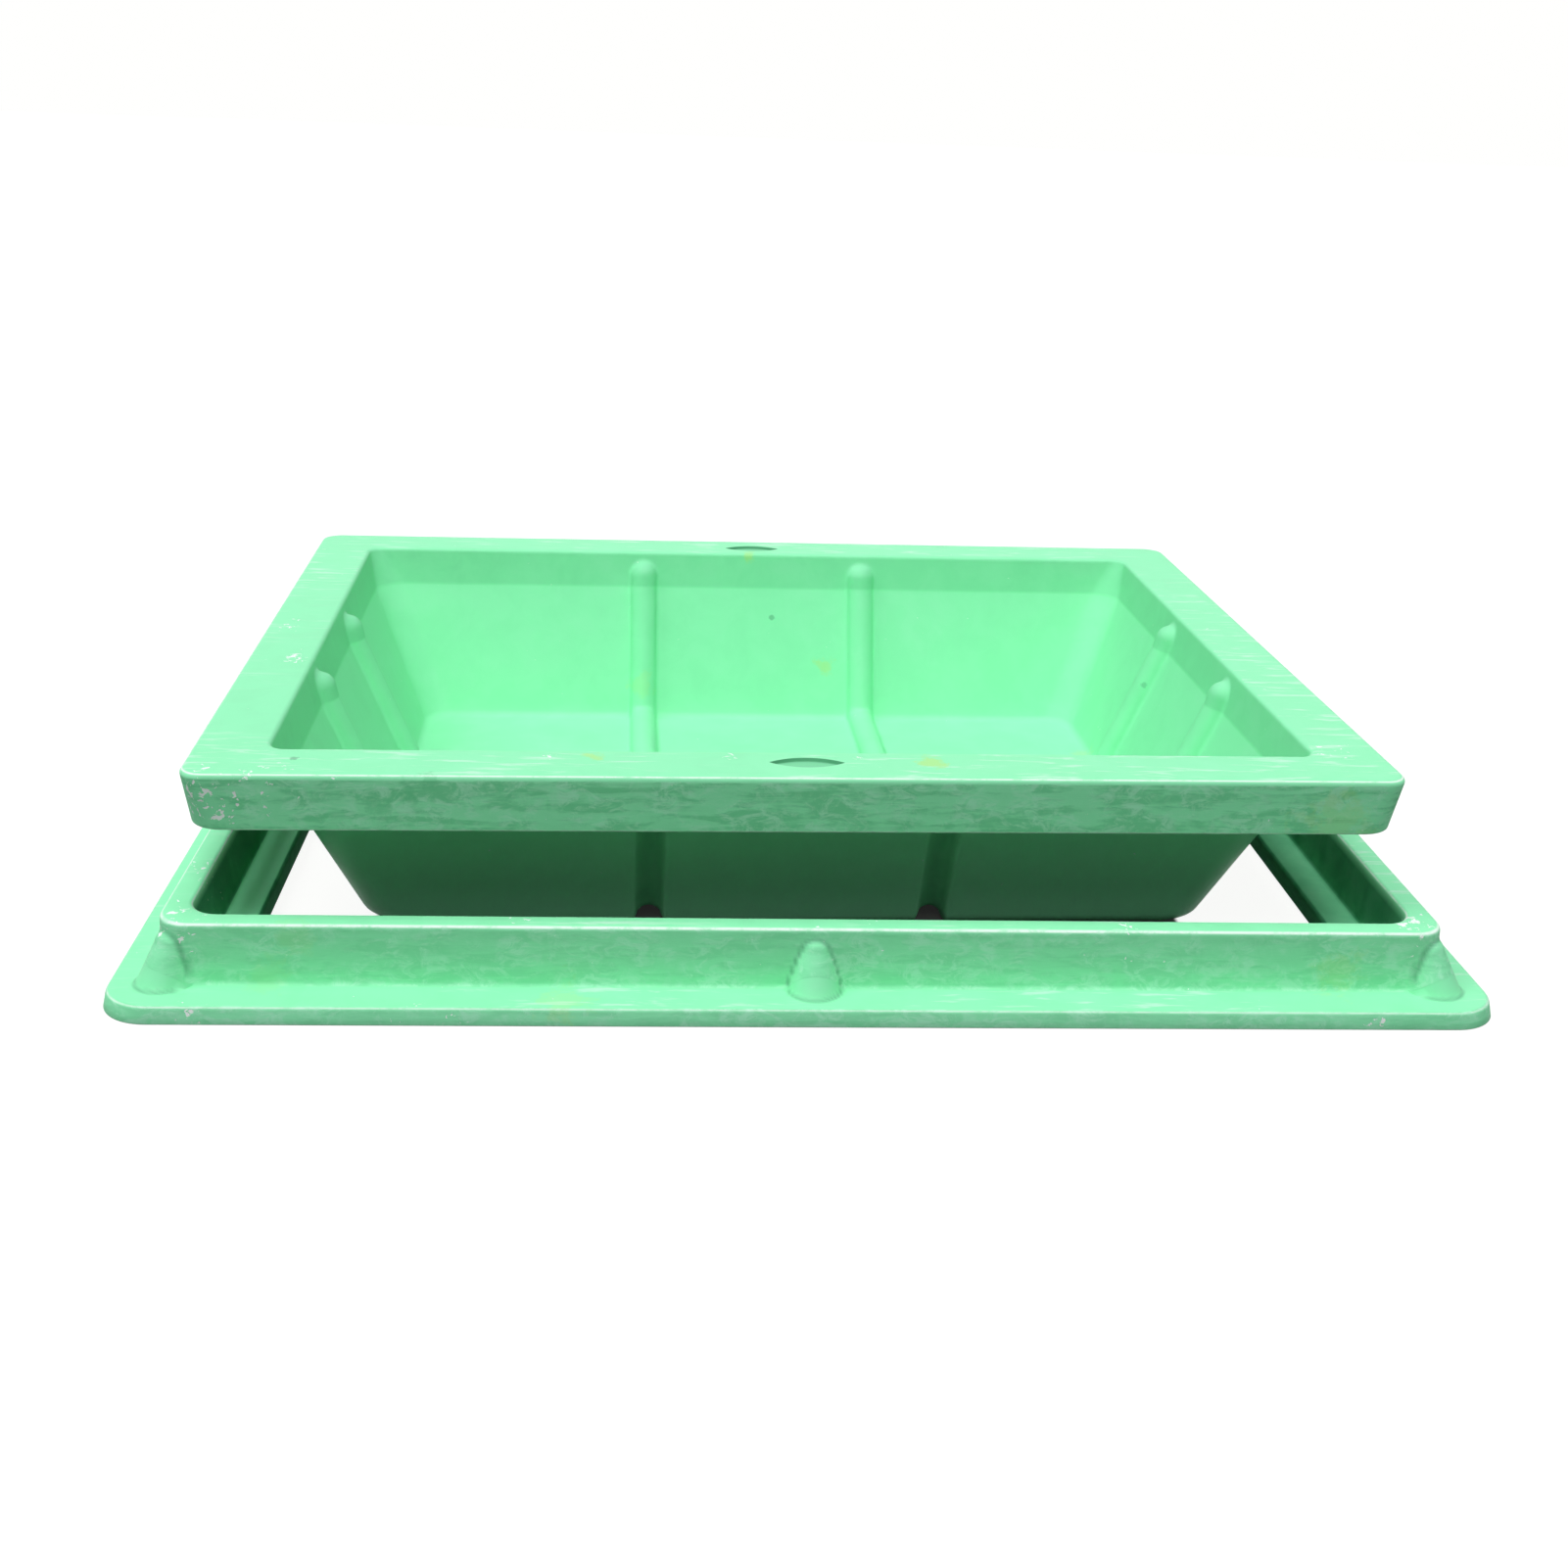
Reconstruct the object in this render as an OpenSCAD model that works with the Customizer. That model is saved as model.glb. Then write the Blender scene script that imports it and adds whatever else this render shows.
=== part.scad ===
/* [Cover pan] */
// Width of the cover pan over its rim
pan_w = 750; // [500:10:1000]
// Depth of the cover pan over its rim, front to back
pan_d = 600; // [450:10:900]
// Height of the cover pan, from the underside of its floor to its rim
pan_h = 140; // [110:1:180]
// Wall thickness of both mouldings
wall = 5; // [4:0.5:6]
// Width of the flat rim around the basin
rim_w = 46; // [40:1:60]
// Height of the skirt that is turned down around the rim
skirt_h = 37; // [30:1:40]
// How far the skirt leans in towards its lower edge
skirt_draft = 3; // [1:0.5:5]
// Height of the near-upright band at the top of the basin
band_h = 30; // [26:1:40]
// How far the band leans in towards its lower edge
band_draft = 6.5; // [4:0.5:10]
// How far each sloping wall runs in, from the band to the floor
wall_run = 43; // [30:1:55]

/* [Cover pan corners and bends] */
// Plan radius of the rim's outer corners
rim_corner = 14; // [12:1:24]
// Plan radius of the skirt's corners at its lower edge
skirt_corner = 21; // [16:1:28]
// Plan radius of the corners of the basin's mouth
mouth_corner = 12; // [8:1:20]
// Plan radius of the basin's corners from the band down to the floor
basin_corner = 24; // [18:1:34]
// Bend radius along the rim's outer and inner edges
rim_bend = 3.5; // [2:0.5:4.5]
// Bend radius between the band and the sloping walls
band_bend = 8; // [4:1:14]
// Bend radius between the sloping walls and the floor
floor_bend = 8; // [6:1:20]

/* [Ribs and recesses] */
// Radius of the half-round ribs that stand up inside the basin
rib_r = 11; // [8:0.5:14]
// Radius of the grooves that follow the ribs on the outside
groove_r = 9; // [6:0.5:9.5]
// Distance of the front-to-back ribs from the middle of the pan
long_rib_x = 95; // [60:1:120]
// Distance of the side-to-side ribs from the middle of the pan
cross_rib_y = 73; // [50:1:90]
// Depth below the rim at which the ribs' rounded ends start
rib_top_drop = 9; // [7:0.5:12]
// Length of the lens-shaped recesses in the rim
recess_len = 47; // [30:1:70]
// Width of the lens-shaped recesses
recess_w = 17; // [10:1:22]
// Depth of the lens-shaped recesses
recess_depth = 2; // [1:0.25:3]
// Distance of the recesses' middle from the rim's outer edge
recess_inset = 27; // [18:1:28]

/* [Frame] */
// Height of the frame
frame_h = 51; // [46:1:70]
// Clearance between the frame's lip and the pan's rim, on each side
seat_gap = 4.5; // [3:0.5:8]
// Width of the frame's lip
lip_w = 16; // [14:0.5:24]
// How far the inner wall leans in, from the lip to the ledge
rebate_draft = 4; // [2:0.5:5]
// Width of the ledge that the skirt lands on
ledge_w = 23; // [18:1:30]
// How far the outer wall leans out, from the lip to the foot
upstand_draft = 1.5; // [0.5:0.5:4]
// Width of the foot flange
foot_w = 28; // [26:1:50]
// Height of the foot flange's turned-down edge
foot_h = 11.5; // [9:0.5:16]
// How far the foot's edge leans out towards the ground
foot_draft = 2; // [0.5:0.5:4]

/* [Frame corners and bends] */
// Plan radius of the lip's inner corners
lip_corner = 20; // [16:1:26]
// Plan radius of the ledge's inner corners
ledge_corner = 9; // [6:1:16]
// Plan radius of the outer wall's corners
upstand_corner = 19; // [17:1:26]
// Plan radius of the foot's corners
foot_corner = 30; // [24:1:40]
// Bend radius along the frame's edges
frame_bend = 3; // [1.5:0.5:4]

/* [Gussets] */
// Radius of each gusset where it stands on the foot
gusset_r = 16.5; // [12:0.5:20]
// Radius of each gusset's rounded top
gusset_top_r = 11; // [9:0.5:12.5]
// Distance from the lip down to the gussets
gusset_drop = 6; // [5:0.5:10]
// How far a gusset's rounded top stands out from the outer wall
gusset_proud = 5; // [3:0.5:7]

/* [Placing] */
// Sideways shift of the lifted-out pan from the middle of the frame
pan_shift_x = -11; // [-20:1:20]
// Shift of the lifted-out pan towards the back
pan_shift_y = 3; // [-20:1:20]
// Turn of the lifted-out pan against the frame, in degrees
pan_turn = 1.1; // [-2:0.1:2]

/* [Hidden] */
$fn = 48;

// Steps in each plan corner and in each bend of the sheet
corner_steps = 7;
bend_steps = 4;
// Steps around each rib's half-round section and over its domed end
bead_steps = 9;
dome_steps = 3;
// Margin by which a cutting solid passes the face that it cuts
cut = 1;
// Depth to which ribs and grooves pass the face of the wall that they follow
bead_root = wall / 2;

green = [0.36, 0.80, 0.52];
// Signs of X and Y in the four quarters of the plan, counter-clockwise
quarter = [[1, 1], [-1, 1], [-1, -1], [1, -1]];

pan_half = [pan_w / 2, pan_d / 2];
// The frame's lip surrounds the pan's rim with the seat gap on each side
lip_half = pan_half + [seat_gap, seat_gap];
// The ledge lies one skirt height below the lip, so the seated rim is flush with it
ledge_z = frame_h - skirt_h;

// Bends of the basin's inner face, measured outward from the rim's outer edge
mouth_out = -rim_w;
band_out = mouth_out - band_draft;
floor_out = band_out - wall_run;
band_z = pan_h - band_h;
// Flat floor between its bend and the ring that closes the section
floor_margin = floor_bend + 2 * wall;

// Faces of the frame, measured outward from the lip's inner edge
foot_out = lip_w + upstand_draft;
edge_out = foot_out + foot_w;
ledge_out = -rebate_draft;
inner_out = ledge_out - ledge_w;

// A section is the upper face of a moulded sheet, from the middle of the part outward, as
// a list of [outward, height, plan corner radius, bend radius]
pan_section = [
    [floor_out - floor_margin, wall, basin_corner, 0],
    [floor_out, wall, basin_corner, floor_bend],
    [band_out, band_z, basin_corner, band_bend],
    [mouth_out, pan_h, mouth_corner, rim_bend],
    [0, pan_h, rim_corner, rim_bend],
    [-skirt_draft, pan_h - skirt_h, skirt_corner, 0]
];

frame_section = [
    [inner_out, 0, ledge_corner, 0],
    [inner_out, ledge_z, ledge_corner, frame_bend],
    [ledge_out, ledge_z, lip_corner, frame_bend],
    [0, frame_h, lip_corner, frame_bend],
    [lip_w, frame_h, upstand_corner, frame_bend],
    [foot_out, foot_h, upstand_corner, frame_bend],
    [edge_out, foot_h, foot_corner, frame_bend],
    [edge_out + foot_draft, 0, foot_corner, 0]
];

function flat(p) = [p[0], p[1]];
function unit(v) = v / norm(v);
function turned(v, a) = [v[0] * cos(a) - v[1] * sin(a), v[0] * sin(a) + v[1] * cos(a)];
function reversed(list) = [for (i = [len(list) - 1:-1:0]) list[i]];

// Direction from the upper side of a line to its lower side
function under(a, b) = let(d = unit(flat(b) - flat(a))) [d[1], -d[0]];

// Step from corner i of a path to the same corner of a path one unit below it
function below(path, i) =
    let(last = len(path) - 1, a = under(path[max(i - 1, 0)], path[max(i, 1)]),
        b = under(path[min(i, last - 1)], path[min(i + 1, last)]))
    (a + b) / (1 + a * b);

// An upright end of the sheet is cut level, so that it lands flat
function level(step) = abs(step[0]) > abs(step[1]) ? [1 / step[0], 0] : step;

// A bend that folds down is tighter by one wall on the lower face, and one that folds up wider
function under_bend(path, i) =
    path[i][3] == 0 ? 0 :
    let(a = flat(path[i]) - flat(path[i - 1]), b = flat(path[i + 1]) - flat(path[i]))
    cross(a, b) < 0 ? max(path[i][3] - wall, 0) : path[i][3] + wall;

// The lower face of a sheet, one wall under its upper face
function lower_face(path) = [for (i = [0:len(path) - 1])
    let(step = below(path, i), at_end = i == 0 || i == len(path) - 1,
        move = wall * (at_end ? level(step) : step))
    [path[i][0] + move[0], path[i][1] + move[1], path[i][2] + move[0], under_bend(path, i)]];

// One bend as an arc that touches the section on both sides of corner b
function bend(a, b, c) =
    let(p = flat(b), u = unit(flat(a) - p), v = unit(flat(c) - p), half = acos(u * v) / 2,
        middle = p + unit(u + v) * b[3] / sin(half), reach = b[3] / tan(half),
        from = p + u * reach - middle, to = p + v * reach - middle,
        sweep = atan2(cross(from, to), from * to))
    [for (i = [0:bend_steps])
        let(q = middle + turned(from, sweep * i / bend_steps)) [q[0], q[1], b[2]]];

function rounded(path) = [for (i = [0:len(path) - 1])
    each path[i][3] == 0 ? [path[i]] : bend(path[i - 1], path[i], path[i + 1])];

// Both faces of the sheet: outward along the top and back along the underside
function sheet(path) = concat(rounded(path), reversed(rounded(lower_face(path))));

// One level of a moulding: a rectangle with rounded corners
function ring(p, half) = [for (k = [0:3], i = [0:corner_steps])
    let(side = quarter[k], a = 90 * (k + i / corner_steps), r = p[2])
    [side[0] * (half[0] + p[0] - r) + r * cos(a), side[1] * (half[1] + p[0] - r) + r * sin(a), p[1]]];

// Skins a stack of levels that have the same number of points. A looped stack closes on
// itself, and any other is closed by its first and last levels.
module skin(levels, looped) {
    count = len(levels[0]);
    last = len(levels) - 1;
    sides = [for (l = [0:looped ? last : last - 1], i = [0:count - 1])
        let(a = l * count, b = ((l + 1) % (last + 1)) * count, j = (i + 1) % count)
        each [[a + i, a + j, b + j], [a + i, b + j, b + i]]];
    first_cap = [for (i = [count - 1:-1:0]) i];
    last_cap = [for (i = [0:count - 1]) last * count + i];
    polyhedron([for (l = levels) each l], looped ? sides : concat(sides, [first_cap, last_cap]));
}

// Sweeps a section around a rectangle
module moulding(section, half, looped) {
    skin([for (p = section) ring(p, half)], looped);
}

// Wall of the basin under a rib, from the middle of the floor up, as
// [distance from the middle, height, 0, bend radius]
function rib_line(half_length) =
    let(drop = rib_top_drop + rib_r)
    [[0, wall, 0, 0],
     [half_length + floor_out, wall, 0, max(floor_bend, rib_r + wall)],
     [half_length + band_out, band_z, 0, max(band_bend, rib_r + wall)],
     [half_length + mouth_out - drop * band_draft / band_h, pan_h - drop, 0, 0]];

// The whole path of a rib or groove: down one wall, across the floor and up the other
function across(line) =
    let(bent = rounded(line), half = [for (i = [1:len(bent) - 1]) flat(bent[i])])
    concat([for (p = reversed(half)) [-p[0], p[1]]], half);

// One level of a bead: an arc of radius r that starts and ends at the given depth
function bead_level(at, up, r, depth) =
    let(low = asin(depth / r))
    [for (i = [0:bead_steps])
        let(a = (180 + 2 * low) * i / bead_steps - low, h = up * r * sin(a))
        [r * cos(a), at[0] + h[0], at[1] + h[1]]];

// Half-round bead along a path in the plane x = 0, with domed ends
module bead(path, r, depth) {
    last = len(path) - 1;
    start = unit(path[0] - path[1]);
    end = unit(path[last] - path[last - 1]);
    dome = [for (i = [1:dome_steps]) 90 * i / (dome_steps + 0.5)];
    skin(concat(
        [for (a = reversed(dome)) bead_level(path[0] + start * r * sin(a),
            -below(path, 0), r * cos(a), depth * cos(a))],
        [for (i = [0:last]) bead_level(path[i], -below(path, i), r, depth)],
        [for (a = dome) bead_level(path[last] + end * r * sin(a),
            -below(path, last), r * cos(a), depth * cos(a))]), false);
}

// Places the front-to-back ribs or grooves, and then the side-to-side ones
module across_basin() {
    for (side = [-1, 1]) {
        translate([side * long_rib_x, 0, 0])
            children(0);
        translate([0, side * cross_rib_y, 0])
            rotate(90)
                children(1);
    }
}

module ribs() {
    across_basin() {
        bead(across(rib_line(pan_half[1])), rib_r, bead_root);
        bead(across(rib_line(pan_half[0])), rib_r, bead_root);
    }
}

module grooves() {
    across_basin() {
        bead(across(lower_face(rib_line(pan_half[1]))), groove_r, bead_root);
        bead(across(lower_face(rib_line(pan_half[0]))), groove_r, bead_root);
    }
}

// Overlap of two discs, with its points on the X axis
module lens(length, width) {
    r = (length * length + width * width) / (4 * width);
    intersection_for(side = [-1, 1])
        translate([0, side * (r - width / 2)])
            circle(r);
}

module recesses() {
    for (side = [-1, 1])
        translate([0, side * (pan_half[1] - recess_inset), pan_h - recess_depth])
            linear_extrude(recess_depth + cut)
                lens(recess_len, recess_w);
}

// Leaning cone with a rounded top, whose middle crosses the foot of the outer wall at x = 0.
// The form inside it is one wall smaller.
module gusset(inset) {
    top_z = frame_h - gusset_drop - gusset_top_r;
    wall_x = -upstand_draft * (top_z - foot_h) / (frame_h - foot_h);
    foot = [0, foot_h];
    top = [wall_x + gusset_proud - gusset_top_r, top_z];
    axis = unit(top - foot);
    taper = (gusset_r - gusset_top_r) / norm(top - foot);
    // The cone starts far enough below the ground for its tilted end to stay clear
    reach = foot_h + gusset_r;
    start = foot - axis * reach;
    translate([start[0], 0, start[1]])
        rotate([0, atan2(axis[0], axis[1]), 0])
            cylinder(norm(top - start), r1 = gusset_r + taper * reach - inset,
                r2 = gusset_top_r - inset);
    translate([top[0], 0, top[1]])
        sphere(gusset_top_r - inset);
}

// Gussets at the middle of each side and across each corner
module gussets(inset) {
    foot = lip_half + [foot_out, foot_out];
    corner = foot - [upstand_corner, upstand_corner];
    for (k = [0:3]) {
        rotate(90 * k)
            translate([foot[k % 2], 0, 0])
                gusset(inset);
        translate([quarter[k][0] * corner[0], quarter[k][1] * corner[1], 0])
            rotate(90 * k + 45)
                translate([upstand_corner, 0, 0])
                    gusset(inset);
    }
}

// Filled plan of the frame out to the middle of its outer wall
module wall_plan() {
    root = (wall + upstand_draft) / 2;
    half = lip_half + [foot_out - root, foot_out - root];
    r = upstand_corner - root;
    square(2 * [half[0] - r, half[1]], center = true);
    square(2 * [half[0], half[1] - r], center = true);
    for (side = quarter)
        translate([side[0] * (half[0] - r), side[1] * (half[1] - r)])
            circle(r);
}

// The bulges alone, rooted in the middle of the outer wall and of the foot flange
module bulges() {
    below = foot_h - wall / 2;
    difference() {
        gussets(0);
        linear_extrude(frame_h)
            wall_plan();
        translate([-pan_w, -pan_d, below - frame_h])
            cube([2 * pan_w, 2 * pan_d, frame_h]);
    }
}

module cover_pan() {
    color(green)
        translate([pan_shift_x, pan_shift_y, 0])
            rotate(pan_turn)
                difference() {
                    union() {
                        moulding(sheet(pan_section), pan_half, false);
                        ribs();
                    }
                    grooves();
                    recesses();
                }
}

module frame() {
    color(green)
        difference() {
            union() {
                moulding(sheet(frame_section), lip_half, true);
                bulges();
            }
            gussets(wall);
        }
}

cover_pan();
frame();
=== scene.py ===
import math

import bmesh
import bpy
import numpy as np
from mathutils import Euler, Matrix, Vector


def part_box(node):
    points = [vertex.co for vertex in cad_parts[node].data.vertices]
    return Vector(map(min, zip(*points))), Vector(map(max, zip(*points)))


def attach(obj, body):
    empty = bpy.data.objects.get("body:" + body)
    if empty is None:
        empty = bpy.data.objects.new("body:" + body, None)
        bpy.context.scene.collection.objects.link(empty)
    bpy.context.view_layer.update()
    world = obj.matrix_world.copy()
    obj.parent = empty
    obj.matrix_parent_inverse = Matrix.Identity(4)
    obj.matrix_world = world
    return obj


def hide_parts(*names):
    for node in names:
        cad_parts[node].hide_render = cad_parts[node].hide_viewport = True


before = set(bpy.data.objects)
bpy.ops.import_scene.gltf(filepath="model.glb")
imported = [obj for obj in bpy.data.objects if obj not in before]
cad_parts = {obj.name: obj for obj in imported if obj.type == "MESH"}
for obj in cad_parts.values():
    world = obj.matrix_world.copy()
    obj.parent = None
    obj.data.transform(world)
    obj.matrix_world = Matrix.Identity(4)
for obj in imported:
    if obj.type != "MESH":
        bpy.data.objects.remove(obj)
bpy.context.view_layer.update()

# Lengths are in millimetres until a mesh is made
MM = 0.001

# Sheet and cover pan
WALL = 5.0
SEAT_GAP = 4.5
PAN_H = 140.0
RIM_W, SKIRT_H, SKIRT_DRAFT = 46.0, 37.0, 3.0
BAND_H, BAND_DRAFT, WALL_RUN = 30.0, 6.5, 43.0
RIM_CORNER, SKIRT_CORNER, MOUTH_CORNER, BASIN_CORNER = 14.0, 21.0, 12.0, 24.0
RIM_BEND, BAND_BEND, FLOOR_BEND = 3.5, 8.0, 8.0
RIB_R, GROOVE_R = 11.0, 9.0
RIB_FILLET, GROOVE_FILLET = 4.0, 3.0
LONG_RIB_X, CROSS_RIB_Y = 95.0, 73.0
RIB_END_Z = PAN_H - 9.0 - RIB_R
BEAD_BLEND = 3.0
RECESS_LEN, RECESS_W, RECESS_DEPTH, RECESS_INSET = 47.0, 17.0, 2.0, 27.0
PAN_EDGE_R = 1.2
PAN_BEND_STEPS = 7
PAN_TURN = math.radians(1.1)
PAN_SHIFT = (-11.0, 3.0)
PAN_SHARP = 32

# Frame
FRAME_H = 51.0
LIP_W, REBATE_DRAFT, LEDGE_W = 16.0, 4.0, 23.0
UPSTAND_DRAFT, FOOT_W, FOOT_H, FOOT_DRAFT = 1.5, 28.0, 11.5, 2.0
LIP_CORNER, LEDGE_CORNER, UPSTAND_CORNER, FOOT_CORNER = 20.0, 9.0, 19.0, 30.0
FRAME_BEND = 3.0
FRAME_EDGE_R = 0.9
FRAME_BEND_STEPS = 5
FRAME_SHARP = 40
GUSSET_R, GUSSET_TOP_R, GUSSET_DROP, GUSSET_PROUD = 16.5, 11.0, 6.0, 5.0
GUSSET_BLEND, GUSSET_BLEND_UNDER = 1.4, 2.0
GUSSET_POLE = 30.0
GUSSET_ROUNDS, GUSSET_STRIDE = 60, 0.9
CREASE_W = 2.0

FOOT_OUT = LIP_W + UPSTAND_DRAFT
EDGE_OUT = FOOT_OUT + FOOT_W
low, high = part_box("frame")
LIP_HALF = np.array([(high[i] - low[i]) / (2 * MM) - EDGE_OUT - FOOT_DRAFT for i in (0, 1)])
PAN_HALF = LIP_HALF - SEAT_GAP

# What the material reads on each point: cut and worn edges with a painted highlight line, outside
# faces, dirt and painted shade in hollows and creases, upper faces, painted shade
MARKS = ("edge", "outside", "dirt_and_shade", "top", "shade")
MERGE_GAP, SLIVER = 0.004, 0.002


# Sections of the sheet: rows of [outward, height, plan corner radius]

def unit(v):
    return v / np.linalg.norm(v)


def bend_rows(a, b, c, steps):
    """The rows of corner b, whose fourth value is its bend radius."""
    p = np.array(b[:2])
    u, v = unit(np.array(a[:2]) - p), unit(np.array(c[:2]) - p)
    half = math.acos(float(u @ v)) / 2
    middle = p + unit(u + v) * b[3] / math.sin(half)
    start = p + u * b[3] / math.tan(half) - middle
    end = p + v * b[3] / math.tan(half) - middle
    sweep = math.atan2(start[0] * end[1] - start[1] * end[0], float(start @ end))
    rows = []
    for i in range(steps + 1):
        t = sweep * i / steps
        q = middle + np.array([start[0] * math.cos(t) - start[1] * math.sin(t),
                               start[0] * math.sin(t) + start[1] * math.cos(t)])
        rows.append([q[0], q[1], b[2]])
    return rows


def rounded(path, steps):
    """The path with every corner that has a bend radius rounded in so many steps."""
    rows = []
    for i, p in enumerate(path):
        rows += [list(p[:3])] if p[3] == 0 else bend_rows(path[i - 1], p, path[i + 1], steps)
    return rows


def lower_face(path):
    """The same section one wall below, as in the solid model."""
    pts = [np.array(p[:2]) for p in path]
    out = []
    for i, p in enumerate(path):
        def under(a, b):
            d = unit(pts[b] - pts[a])
            return np.array([d[1], -d[0]])
        last = len(path) - 1
        a, b = under(max(i - 1, 0), max(i, 1)), under(min(i, last - 1), min(i + 1, last))
        step = (a + b) / (1 + a @ b)
        if i in (0, last) and abs(step[0]) > abs(step[1]):
            step = np.array([1 / step[0], 0.0])
        radius = 0.0
        if p[3]:
            d, e = pts[i] - pts[i - 1], pts[i + 1] - pts[i]
            folds_down = d[0] * e[1] - d[1] * e[0] < 0
            radius = max(p[3] - WALL, 0.8) if folds_down else p[3] + WALL
        out.append([p[0] + WALL * step[0], p[1] + WALL * step[1], p[2] + WALL * step[0], radius])
    return out


def divided(rows, steps):
    """Adds rows so that none lie further apart than steps(row) allows."""
    out = [rows[0]]
    for a, b in zip(rows, rows[1:]):
        a, b = np.array(a), np.array(b)
        n = max(1, math.ceil(np.linalg.norm((b - a)[:2]) / steps((a + b) / 2)))
        out += [list(a + (b - a) * i / n) for i in range(1, n + 1)]
    return out


def row_normals(rows, looped):
    """Outward and upward parts of each row's normal, on the left of the path."""
    p = np.array(rows)[:, :2]
    n = len(p)
    before = np.roll(p, 1, 0) if looped else np.vstack([p[:1], p[:-1]])
    after = np.roll(p, -1, 0) if looped else np.vstack([p[1:], p[-1:]])
    normals = np.zeros((n, 2))
    for i in range(n):
        for d in (p[i] - before[i], after[i] - p[i]):
            size = np.linalg.norm(d)
            if size > 1e-9:
                normals[i] += np.array([-d[1], d[0]]) / size
        normals[i] = unit(normals[i])
    return normals


# Plan of the rings

def side_places(fixed, fractions, reach):
    """Places along one side: fixed ones in its middle, then shares of what is left to its ends."""
    edge = fixed[-1]
    outer = [edge + (reach - edge) * f for f in fractions]
    return [-v for v in reversed(outer)] + list(fixed) + outer


def ring_points(row, half, plan):
    """One ring, counter-clockwise from the front of the right side, and each point's direction."""
    out, z, r = row
    reach = half + out - r
    xs = side_places(plan["x"], plan["fractions"], reach[0])
    ys = side_places(plan["y"], plan["fractions"], reach[1])
    points, ways = [], []
    sides = [([(half[0] + out, y) for y in ys], 0),
             ([(x, half[1] + out) for x in reversed(xs)], 90),
             ([(-half[0] - out, y) for y in reversed(ys)], 180),
             ([(x, -half[1] - out) for x in xs], 270)]
    signs = [(1, 1), (-1, 1), (-1, -1), (1, -1)]
    for (side, turn), (sx, sy) in zip(sides, signs):
        points += side
        ways += [turn] * len(side)
        for i in range(plan["corner"] + 1):
            a = turn + 90 * i / plan["corner"]
            points.append((sx * reach[0] + r * math.cos(math.radians(a)),
                           sy * reach[1] + r * math.sin(math.radians(a))))
            ways.append(a)
    a = np.radians(ways)
    xyz = np.column_stack([np.array(points), np.full(len(points), z)])
    return xyz, np.column_stack([np.cos(a), np.sin(a)])


def surface(rows, half, plan, looped):
    """Points of all rings and their normals, as [row, place, axis]."""
    normals = row_normals(rows, looped)
    rings, ups = [], []
    for row, n in zip(rows, normals):
        xyz, ways = ring_points(row, half, plan)
        rings.append(xyz)
        ups.append(np.column_stack([ways * n[0], np.full(len(xyz), n[1])]))
    return np.array(rings), np.array(ups)


def build_mesh(name, points, faces, marks):
    """A mesh in metres. marks holds a value per point for each named attribute."""
    mesh = bpy.data.meshes.new(name)
    mesh.from_pydata((points * MM).tolist(), [], faces)
    for mark, values in marks.items():
        layer = mesh.attributes.new(mark, "FLOAT", "POINT")
        layer.data.foreach_set("value", np.asarray(values, dtype=np.float32))
    bm = bmesh.new()
    bm.from_mesh(mesh)
    bmesh.ops.remove_doubles(bm, verts=bm.verts, dist=MERGE_GAP * MM)
    bmesh.ops.dissolve_degenerate(bm, edges=bm.edges, dist=SLIVER * MM)
    bm.to_mesh(mesh)
    bm.free()
    mesh.shade_smooth()
    obj = bpy.data.objects.new(name, mesh)
    bpy.context.scene.collection.objects.link(obj)
    return obj


def ring_faces(rows, count, looped):
    """Quads between neighbouring rings, and from the last to the first if looped."""
    faces = []
    for k in range(rows if looped else rows - 1):
        a, b = k * count, ((k + 1) % rows) * count
        for i in range(count):
            j = (i + 1) % count
            faces.append((a + i, b + i, b + j, a + j))
    return faces


# Cover pan

def swell(distance, radius, fillet):
    """Height of a half-round bead with a fillet at its foot."""
    foot = math.sqrt((radius + fillet) ** 2 - fillet ** 2)
    meet = foot * radius / (radius + fillet)
    d = np.abs(distance)
    crown = np.sqrt(np.maximum(radius ** 2 - d ** 2, 0))
    skirt = fillet - np.sqrt(np.maximum(fillet ** 2 - (foot - d) ** 2, 0))
    return np.where(d < meet, crown, np.where(d < foot, skirt, 0.0))


def soft_max(a, b, k):
    """The larger of two heights, rounded over where both are above zero and within k."""
    h = np.maximum(k - np.abs(a - b), 0) / k
    return np.maximum(a, b) + np.where((a > 0) & (b > 0), h * h * k / 4, 0)


def bead_height(points, radius, fillet):
    """Ribs and grooves cross the basin in both directions and end in domes on the band."""
    past = np.maximum(points[..., 2] - RIB_END_Z, 0)
    along_y = np.abs(np.abs(points[..., 0]) - LONG_RIB_X)
    along_x = np.abs(np.abs(points[..., 1]) - CROSS_RIB_Y)
    return soft_max(swell(np.hypot(along_y, past), radius, fillet),
                    swell(np.hypot(along_x, past), radius, fillet), BEAD_BLEND)


def bead_places(middle):
    """Places across a bead, close together on its steep sides."""
    crown = [RIB_R * math.sin(math.radians(a)) for a in (0, 14, 28, 41, 53, 63, 71, 76)]
    near = crown + [11.4, 12.4, 13.4, 14.6]
    return [middle - v for v in reversed(near[1:])] + [middle + v for v in near]


def pan_plan():
    """Places of the pan's ring points: dense at the beads, even between them."""
    x = bead_places(LONG_RIB_X)
    y = bead_places(CROSS_RIB_Y)
    gap_x = list(np.linspace(-x[0], x[0], 12)[1:-1])
    gap_y = list(np.linspace(-y[0], y[0], 10)[1:-1])
    return {"x": [-v for v in reversed(x)] + gap_x + x,
            "y": [-v for v in reversed(y)] + gap_y + y,
            "fractions": (0.25, 0.5, 0.75, 0.92), "corner": 12}


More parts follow.
